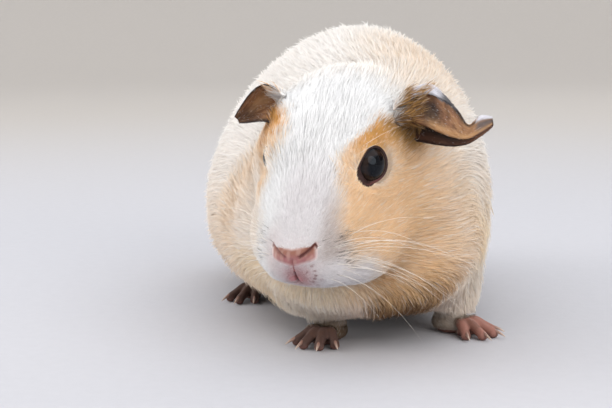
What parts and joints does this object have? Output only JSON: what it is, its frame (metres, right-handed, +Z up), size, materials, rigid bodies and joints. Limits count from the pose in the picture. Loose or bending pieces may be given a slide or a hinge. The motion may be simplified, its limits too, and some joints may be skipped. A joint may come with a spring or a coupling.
{
  "type": "guinea pig",
  "caption": "Life-size still model of a young smooth-coated guinea pig, standing on the floor with its head turned to its right and its ears drooping.",
  "frame": {"origin": "on the floor under the middle of the animal's overall box", "axes": "+Z up, -Y the way the body faces (the animal's front), +X the animal's left side"},
  "size_m": [0.097, 0.1877, 0.0926],
  "materials": {
    "body_coat": "soft cream fur",
    "face_coat": "short white and tan fur",
    "ear_skin": "thin bare skin",
    "foot_skin": "bare skin",
    "claw": "horn",
    "eye": "wet gloss"
  },
  "bodies": {
    "root": {"ear_left": "ear_skin", "ear_right": "ear_skin", "eye_left": "eye", "eye_right": "eye", "forefoot_left": "foot_skin", "forefoot_left_claw_1": "claw", "forefoot_left_claw_2": "claw", "forefoot_left_claw_3": "claw", "forefoot_left_claw_4": "claw", "forefoot_right": "foot_skin", "forefoot_right_claw_1": "claw", "forefoot_right_claw_2": "claw", "forefoot_right_claw_3": "claw", "forefoot_right_claw_4": "claw", "foreleg_left": "body_coat", "foreleg_right": "body_coat", "head": "face_coat", "hindfoot_left": "foot_skin", "hindfoot_left_claw_1": "claw", "hindfoot_left_claw_2": "claw", "hindfoot_left_claw_3": "claw", "hindfoot_right": "foot_skin", "hindfoot_right_claw_1": "claw", "hindfoot_right_claw_2": "claw", "hindfoot_right_claw_3": "claw", "neck": "body_coat", "thigh_left": "body_coat", "thigh_right": "body_coat", "trunk": "body_coat"}
  },
  "joints": []
}
